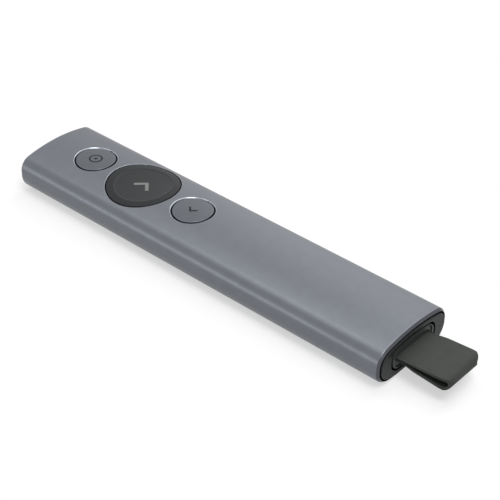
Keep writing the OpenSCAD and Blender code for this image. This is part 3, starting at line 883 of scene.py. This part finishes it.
@dataclass
class Mark:
    """A thin printed mark on a key's face."""

    key: Key
    ink: Finish
    proud: float = 0.012
    sunk: float = 0.03
    sides: int = 64
    grid: float = 0.55
    grid_steps: int = 6

    def rings(self, bands: Sequence[Point], centre: Point) -> None:
        """Prints round bands.

        Args:
            bands: inner and outer radius of each.
            centre: their middle, from the key's.
        """
        mould = Mould(self.key.node.replace("_cap", "_mark"))
        for inner, outer in bands:
            loop = [(inner, -self.sunk), (inner, self.proud), (outer, self.proud), (outer, -self.sunk)]
            mould.turn(loop + loop[:1] if inner else loop[1:] + loop[:1], self.key.y, self.sides)
        bmesh.ops.translate(mould.bm, vec=(*centre, 0), verts=mould.bm.verts)
        mould.drape(self.key.surface)
        mould.cast(self.key.body, self.ink)

    def chevron(self, tip: float, reach: float, stroke: float, points_to: int, centre: Point) -> None:
        """Prints a square-cut chevron across the part.

        Args:
            tip: distance of its point from its middle.
            reach: half its span.
            stroke: width of its arms.
            points_to: 1 to point right, -1 to point left.
            centre: its middle, from the key's.
        """
        mould = Mould(self.key.node.replace("_cap", "_mark"))
        cut = stroke / sqrt(2)
        half = [(tip, 0.0), (tip - reach, reach), (tip - reach - cut, reach - cut), (tip - 2 * cut, 0.0)]
        outline = half + [(x, -y) for x, y in half[2:0:-1]]
        x0, y0 = centre[0], self.key.y + centre[1]
        verts = [mould.bm.verts.new((x0 + points_to * x, y0 + y, self.proud)) for x, y in outline]
        mould.bm.faces.new(verts)
        for axis, middle in ((0, x0), (1, y0)):
            normal = [0.0, 0.0, 0.0]
            normal[axis] = 1.0
            for step in range(-self.grid_steps, self.grid_steps + 1):
                spot = [0.0, 0.0, 0.0]
                spot[axis] = middle + step * self.grid
                whole = mould.bm.verts[:] + mould.bm.edges[:] + mould.bm.faces[:]
                bmesh.ops.bisect_plane(mould.bm, geom=whole, dist=TOUCH, plane_co=spot, plane_no=normal)
        made = bmesh.ops.extrude_face_region(mould.bm, geom=mould.bm.faces[:], use_keep_orig=True)["geom"]
        for vert in made:
            if isinstance(vert, BMVert):
                vert.co.z = -self.sunk
        mould.drape(self.key.surface)
        mould.cast(self.key.body, self.ink)


# Receiver


@dataclass
class Receiver:
    """The pull-out receiver: its body, its plug and its strap."""

    housing: Housing
    length: float = 13.4
    edge_round: float = 0.27
    ease: float = 0.35
    recess_w: float = 15.4
    recess_h: float = 6.0
    recess_r: float = 2.2
    recess_l: float = 0.35
    recess_round: float = 0.08
    back_round: float = 0.12
    slot_w: float = 13.9
    slot_h: float = 2.3
    slot_r: float = 0.8
    slot_l: float = 1.5
    plug_w: float = 12.0
    plug_h: float = 4.5
    plug_l: float = 12.0
    plug_root: float = 5.0
    plug_t: float = 0.3
    plug_corner: float = 0.65
    plug_round: float = 0.1
    window_w: float = 2.5
    window_l: float = 2.0
    window_from_tip: float = 5.2

    @property
    def middle(self) -> float:
        """Height of the receiver's middle."""
        return self.housing.dock.lift + self.housing.dock.height / 2

    @property
    def face(self) -> float:
        """Place of the receiver's face along the part."""
        return -self.housing.end

    def build(self) -> None:
        """Builds the body and the plug's shell."""
        self.block()
        self.plug()

    def block(self) -> None:
        """Plastic body with the strap's recess in its face."""
        mould = Mould("receiver_block")
        section = self.housing.dock
        recess = RoundedSlot(self.recess_w, self.recess_h, self.recess_r, self.middle)
        slot = RoundedSlot(self.slot_w, self.slot_h, self.slot_r, self.middle)
        floor = self.face + self.recess_l
        rings = mould.loft([
            Station(slot, 0.0, self.face + self.slot_l),
            Station(slot, 0.0, floor),
            Station(recess, 0.0, floor),
            Station(recess, 0.0, self.face, self.recess_round),
            Station(section, self.ease, self.face, self.edge_round),
            Station(section, self.ease, self.face + self.length, self.back_round),
        ], closed=False)
        mould.cap(rings[0])
        mould.cap([e for e in mould.bm.edges if e.is_boundary])
        # The slot round the strap's root wears painted shade.
        mould.cast(Body.RECEIVER, Finishes.RECEIVER, "receiver_body", trims=[(Finishes.SHADOW, self.shaded_by_paint)])

    def shaded_by_paint(self, spot: Vector, normal: Vector) -> bool:
        """Tells whether a face of the body lies in the slot that the strap goes through, which wears painted
        shade.
        """
        return abs(spot.z - self.middle) < self.slot_h / 2 + TOUCH and abs(spot.x) < self.slot_w / 2 + TOUCH \
            and self.face + self.recess_l + MM < spot.y < self.face + 2 * self.slot_l

    def plug(self) -> None:
        """Folded metal shell of the plug, with two windows in each wide face."""
        mould = Mould("plug_sleeve")
        tube = RoundedSlot(self.plug_w, self.plug_h, self.plug_corner, self.middle)
        root = self.face + self.length - self.plug_root
        tip = self.face + self.length + self.plug_l
        mould.loft([
            Station(tube, 0.0, root),
            Station(tube, 0.0, tip, self.plug_round),
            Station(tube, self.plug_t, tip),
            Station(tube, self.plug_t, root),
        ], closed=True)
        windows = []
        for side in (-1, 1):
            window = Mould("window")
            bmesh.ops.create_cube(window.bm, size=1.0)
            size = (self.window_w, self.window_l, 2 * self.plug_h)
            bmesh.ops.scale(window.bm, vec=size, verts=window.bm.verts)
            bmesh.ops.translate(window.bm, verts=window.bm.verts, vec=(
                side * self.window_w, tip - self.window_from_tip - self.window_l / 2, self.middle))
            windows.append(window)
        mould.cast(Body.RECEIVER, Finishes.STEEL, "plug_shell", cutters=windows)


@dataclass
class Strap:
    """Rubber strap: a loop of two layers that meet in a neck and end in a bead round a pin."""

    receiver: Receiver
    root_w: float = 13.6
    width: float = 14.0
    flare_l: float = 5.0
    thickness: float = 0.75
    reach: float = 15.4
    loop_r: float = 1.75
    neck_r: float = 0.65
    slit_r: float = 0.12
    root_crown: float = 0.6
    strips: int = 12
    bead_r: float = 1.4
    bead_in: float = 3.6
    corner_r: float = 2.6
    edge_round: float = 0.3
    edge_segments: int = 4
    rim_angle: float = 60.0
    arc_steps: int = 28
    slit_steps: int = 8
    cuts: int = 14

    def build(self) -> None:
        """Draws both outlines of the loop, spans them across, and rounds corners and edges."""
        mould = Mould("strap")
        face = self.receiver.face
        far = face - self.reach + self.loop_r
        outer = self.teardrop(mould.bm, face, self.neck_r, far, self.loop_r, bead=True)
        inner = self.teardrop(mould.bm, face, self.slit_r, far, self.loop_r - self.thickness, bead=False)
        bmesh.ops.bridge_loops(mould.bm, edges=outer + inner)
        side = mould.bm.faces[:]
        made = bmesh.ops.extrude_face_region(mould.bm, geom=side, use_keep_orig=True)["geom"]
        moved = [part for part in made if isinstance(part, BMVert)]
        bmesh.ops.translate(mould.bm, vec=(self.width, 0, 0), verts=moved)
        bmesh.ops.recalc_face_normals(mould.bm, faces=mould.bm.faces)
        for vert in mould.bm.verts:
            vert.co.x *= self.half_width(vert.co.y) / (self.width / 2)
        rims = [e for e in mould.bm.edges if e.calc_face_angle(0.0) > radians(self.rim_angle)]
        mould.round_off(rims, self.edge_round, self.edge_segments)
        self.crown(mould.bm)
        bmesh.ops.translate(mould.bm, vec=(0, 0, self.receiver.middle), verts=mould.bm.verts)
        mould.cast(Body.RECEIVER, Finishes.RUBBER, "strap_loop")

    def crown(self, bm: BMesh) -> None:
        """Thins the strap towards its two edges, most at its root.

        Args:
            bm: the strap's mesh.
        """
        for i in range(1, self.strips):
            spot = (self.width * (i / self.strips - 1 / 2), 0.0, 0.0)
            whole = bm.verts[:] + bm.edges[:] + bm.faces[:]
            bmesh.ops.bisect_plane(bm, geom=whole, dist=TOUCH, plane_co=spot, plane_no=(1.0, 0.0, 0.0))
        for vert in bm.verts:
            share = abs(vert.co.x) / self.half_width(vert.co.y)
            vert.co.z *= 1 - self.root_crown * (1 - self.flared(vert.co.y)) * share**4

    def flared(self, y: float) -> float:
        """How far the strap has grown from its root's form to its full one at a station, from 0 to 1."""
        return min(max((self.receiver.face - y) / self.flare_l, 0.0), 1.0)

    def half_width(self, y: float) -> float:
        """Finds half the strap's width: it flares from its root, and its far corners are round.

        Args:
            y: the station along the part.

        Returns:
            Half the width there.
        """
        face = self.receiver.face
        flared = self.flared(y)
        half = (self.root_w + (self.width - self.root_w) * flared) / 2
        short = max(face - self.reach + self.corner_r - y, 0.0)
        return half - self.corner_r + sqrt(max(self.corner_r**2 - short**2, 0.0))

    def teardrop(self, bm: BMesh, near: float, near_r: float, far: float, far_r: float,
                 bead: bool) -> list[BMEdge]:
        """Draws a loop on the strap's left side that swells from its neck to its far end.

        Args:
            bm: the mesh in the making.
            near: place of the neck along the part.
            near_r: half the height there.
            far: place of the far circle's middle.
            far_r: its radius.
            bead: whether the neck runs on into the bead.

        Returns:
            The edges of the closed loop.
        """
        old = set(bm.edges)
        x = -self.width / 2
        lean = asin((far_r - near_r) / (near - far))
        start = bm.verts.new((x, near + near_r * sin(lean), near_r * cos(lean)))
        tip = start
        for i in range(1, self.cuts + 1):
            share = i / self.cuts
            r = near_r + (far_r - near_r) * share
            y = near + (far - near) * share
            tip = draw_on(bm, tip, (x, y + r * sin(lean), r * cos(lean)))
        tip = swing(bm, tip, (x, far, 0), (1, 0, 0), pi + 2 * lean, self.arc_steps)
        for i in range(1, self.cuts + 1):
            share = 1 - i / self.cuts
            r = near_r + (far_r - near_r) * share
            y = near + (far - near) * share
            tip = draw_on(bm, tip, (x, y + r * sin(lean), -r * cos(lean)))
        if bead:
            centre = near + self.bead_in
            bite = asin(self.neck_r / self.bead_r)
            tip = draw_on(bm, tip, (x, centre - self.bead_r * cos(bite), -self.neck_r))
            tip = swing(bm, tip, (x, centre, 0), (1, 0, 0), 2 * (pi - bite), self.arc_steps)
        else:
            tip = swing(bm, tip, (x, near, 0), (1, 0, 0), pi - 2 * lean, self.slit_steps)
        bm.edges.new((tip, start))
        bmesh.ops.remove_doubles(bm, verts=bm.verts, dist=TOUCH)
        return [e for e in bm.edges if e not in old]


# Pieces that the CAD already shapes


@dataclass
class Innards:
    """CAD nodes that keep their own meshes and only get their finish."""

    finishes: dict[str, Finish] = field(default_factory=lambda: {
        "chassis_tray": Finishes.INNER,
        "main_board": Finishes.BOARD,
        "board_screws": Finishes.STEEL,
        "frame_screws": Finishes.STEEL,
        "key_frame": Finishes.INNER,
        "battery_pad": Finishes.FOAM,
        "battery_cell": Finishes.POUCH,
        "battery_tabs": Finishes.STEEL,
        "vibration_motor": Finishes.STEEL,
        "radio_shield": Finishes.STEEL,
        "antenna_chip": Finishes.CERAMIC,
        "charge_port_shell": Finishes.STEEL,
        "charge_port_tongue": Finishes.INNER,
        "pointer_switch": Finishes.INNER,
        "next_switch": Finishes.INNER,
        "back_switch": Finishes.INNER,
        "pointer_carrier": Finishes.INNER,
        "next_carrier": Finishes.INNER,
        "back_carrier": Finishes.INNER,
        "pointer_plunger": Finishes.PLUNGER,
        "next_plunger": Finishes.PLUNGER,
        "back_plunger": Finishes.PLUNGER,
        "receiver_board": Finishes.BOARD,
        "plug_tongue": Finishes.INNER,
        "plug_contacts": Finishes.GOLD,
        "strap_pin": Finishes.STEEL,
    })

    def dress(self) -> None:
        """Gives each node its finish."""
        for name, finish in self.finishes.items():
            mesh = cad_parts[name].data
            if not mesh.materials:
                mesh.materials.append(None)
            for i in range(len(mesh.materials)):
                mesh.materials[i] = finish.material()
            LOG.info("%s: dressed in %s", name, finish.slot)


# Studio


@dataclass(frozen=True)
class Softbox:
    """A rectangular lamp that faces the clicker."""

    name: str
    towards: Triple
    distance: float
    size: Point
    watts: float
    target: Triple = (0.0, 0.0, 6.0)

    def hang(self) -> None:
        """Hangs the lamp."""
        data = bpy.data.lights.new(self.name, "AREA")
        data.shape = "RECTANGLE"
        data.size, data.size_y = (side * MM for side in self.size)
        data.energy = self.watts
        lamp = bpy.data.objects.new(self.name, data)
        direction = Vector(self.towards).normalized()
        lamp.location = (Vector(self.target) + direction * self.distance) * MM
        lamp.rotation_euler = direction.to_track_quat("Z", "Y").to_euler()
        bpy.context.scene.collection.objects.link(lamp)
        LOG.info("%s hung", self.name)


@dataclass
class Studio:
    """Camera, pale floor, softboxes and the plain surround."""

    eye: Triple = (-219.97, -206.01, 223.71)
    right: Triple = (0.66535, -0.74651, 0.00585)
    up: Triple = (0.43805, 0.39674, 0.80667)
    lens: float = 98.42
    sensor: float = 36.0
    clip: Point = (0.01, 20.0)
    floor_size: float = 6000.0
    floor_drop: float = 0.05
    floor_lift: float = 0.55
    lit_r: Point = (150.0, 700.0)
    floor_colour: Triple = (0.5, 0.5, 0.5)
    ambient: float = 0.186
    softboxes: tuple[Softbox, ...] = (
        Softbox("overhead_box", (0.469, 0.05, 0.882), 900, (300, 900), 2.33),
        Softbox("right_low_box", (0.839, 0.45, 0.305), 900, (300, 300), 0.168),
        Softbox("right_high_box", (0.684, 0.45, 0.574), 900, (300, 300), 0.167),
        Softbox("top_box", (0.155, 0.45, 0.879), 900, (300, 300), 0.437),
        Softbox("left_high_box", (-0.155, 0.45, 0.879), 900, (300, 300), 0.313),
        Softbox("left_strip", (-0.86, 0.50, 0.055), 900, (700, 90), 0.56),
        Softbox("left_fill", (-0.84, 0.50, 0.20), 900, (700, 150), 0.219),
        Softbox("front_right_box", (0.507, 0.75, 0.425), 900, (300, 500), 0.054),
        Softbox("front_box", (0.058, 0.75, 0.659), 900, (300, 400), 0.068),
        Softbox("tail_box", (-0.12, -0.33, 0.94), 900, (400, 400), 3.6),
        Softbox("rim_box", (-0.42, -0.57, 0.70), 900, (400, 400), 0.7),
    )

    def camera(self) -> None:
        """Places the camera where the photograph was taken from."""
        right, up = Vector(self.right), Vector(self.up)
        data = bpy.data.cameras.new("camera")
        data.sensor_width = self.sensor
        data.lens = self.lens
        data.clip_start, data.clip_end = self.clip
        camera = bpy.data.objects.new("camera", data)
        turn = Matrix((right, up, right.cross(up))).transposed().to_4x4()
        camera.matrix_world = Matrix.Translation(Vector(self.eye) * MM) @ turn
        bpy.context.scene.collection.objects.link(camera)
        bpy.context.scene.camera = camera

    def light(self) -> None:
        """Hangs the softboxes, lays the floor and lights the surround."""
        for box in self.softboxes:
            box.hang()
        self.floor()
        self.surround()
        bpy.context.scene.view_settings.view_transform = "Standard"

    def shown(self, tree: bpy.types.NodeTree) -> bpy.types.NodeSocket:
        """Adds what tells the rays that show the background from the rest.

        Args:
            tree: the tree that it joins.

        Returns:
            1 for rays of the eye, of gloss and of glass, else 0.
        """
        path = tree.nodes.new("ShaderNodeLightPath")
        shown = path.outputs["Is Camera Ray"]
        for name in ("Is Glossy Ray", "Is Transmission Ray"):
            either = tree.nodes.new("ShaderNodeMath")
            either.operation = "MAXIMUM"
            tree.links.new(shown, either.inputs[0])
            tree.links.new(path.outputs[name], either.inputs[1])
            shown = either.outputs[0]
        return shown

    def floor(self) -> None:
        """Lays a floor that is white to the eye and in the metal, and keeps the shadow."""
        bm = bmesh.new()
        bmesh.ops.create_grid(bm, x_segments=1, y_segments=1, size=self.floor_size / 2 * MM)
        mesh = bpy.data.meshes.new("floor")
        bm.to_mesh(mesh)
        bm.free()
        floor = bpy.data.objects.new("floor", mesh)
        floor.location.z = -self.floor_drop * MM
        bpy.context.scene.collection.objects.link(floor)
        material = bpy.data.materials.new("floor")
        material.use_nodes = True
        tree = material.node_tree
        tree.nodes.clear()
        away = tree.nodes.new("ShaderNodeVectorMath")
        away.operation = "LENGTH"
        tree.links.new(tree.nodes.new("ShaderNodeTexCoord").outputs["Object"], away.inputs[0])
        rise = tree.nodes.new("ShaderNodeMapRange")
        rise.inputs["From Min"].default_value = self.lit_r[0] * MM
        rise.inputs["From Max"].default_value = self.lit_r[1] * MM
        rise.inputs["To Min"].default_value = self.floor_lift
        rise.inputs["To Max"].default_value = 1.0
        tree.links.new(away.outputs["Value"], rise.inputs["Value"])
        lift = tree.nodes.new("ShaderNodeMath")
        lift.operation = "MULTIPLY"
        tree.links.new(self.shown(tree), lift.inputs[0])
        tree.links.new(rise.outputs["Result"], lift.inputs[1])
        matt = tree.nodes.new("ShaderNodeBsdfDiffuse")
        matt.inputs["Color"].default_value = (*self.floor_colour, 1.0)
        glow = tree.nodes.new("ShaderNodeEmission")
        tree.links.new(lift.outputs[0], glow.inputs["Strength"])
        both = tree.nodes.new("ShaderNodeAddShader")
        tree.links.new(matt.outputs[0], both.inputs[0])
        tree.links.new(glow.outputs[0], both.inputs[1])
        out = tree.nodes.new("ShaderNodeOutputMaterial")
        tree.links.new(both.outputs[0], out.inputs["Surface"])
        mesh.materials.append(material)

    def surround(self) -> None:
        """Lights the surround: white to the eye and in the metal, and an even fill besides."""
        world = bpy.data.worlds.new("surround")
        bpy.context.scene.world = world
        world.use_nodes = True
        tree = world.node_tree
        level = tree.nodes.new("ShaderNodeMapRange")
        level.inputs["To Min"].default_value = self.ambient
        level.inputs["To Max"].default_value = 1.0
        tree.links.new(self.shown(tree), level.inputs["Value"])
        tree.links.new(level.outputs["Result"], tree.nodes["Background"].inputs["Strength"])
        tree.nodes["Background"].inputs["Color"].default_value = (1.0, 1.0, 1.0, 1.0)


def main() -> None:
    """Builds the clicker and its studio, piece by piece."""
    logging.basicConfig(level=logging.INFO, format="%(name)s: %(message)s")
    studio = Studio()
    studio.camera()
    housing = Housing()
    housing.build()
    pointer_hole, next_hole, back_hole = housing.holes
    pointer = Key("pointer_cap", Body.POINTER, pointer_hole, Finishes.KEY_METAL, Finishes.KEY_METAL,
                  housing.section)
    onward = Key("next_cap", Body.NEXT, next_hole, Finishes.KEY_PLASTIC, Finishes.KEY_RING, housing.section,
                 dish_r=8.4)
    back = Key("back_cap", Body.BACK, back_hole, Finishes.KEY_METAL, Finishes.KEY_METAL, housing.section)
    for key in (pointer, onward, back):
        key.build()
    Mark(pointer, Finishes.DARK_INK).rings([(1.55, 2.03), (0.0, 0.5)], (-0.03, 0.03))
    Mark(onward, Finishes.PALE_INK).chevron(1.75, 2.92, 0.97, 1, (0.23, -0.1))
    Mark(back, Finishes.DARK_INK).chevron(0.85, 1.6, 0.58, -1, (-0.5, 0.16))
    receiver = Receiver(housing)
    receiver.build()
    Strap(receiver).build()
    Innards().dress()
    studio.light()
    LOG.info("all pieces built")


if __name__ == "__main__":
    main()
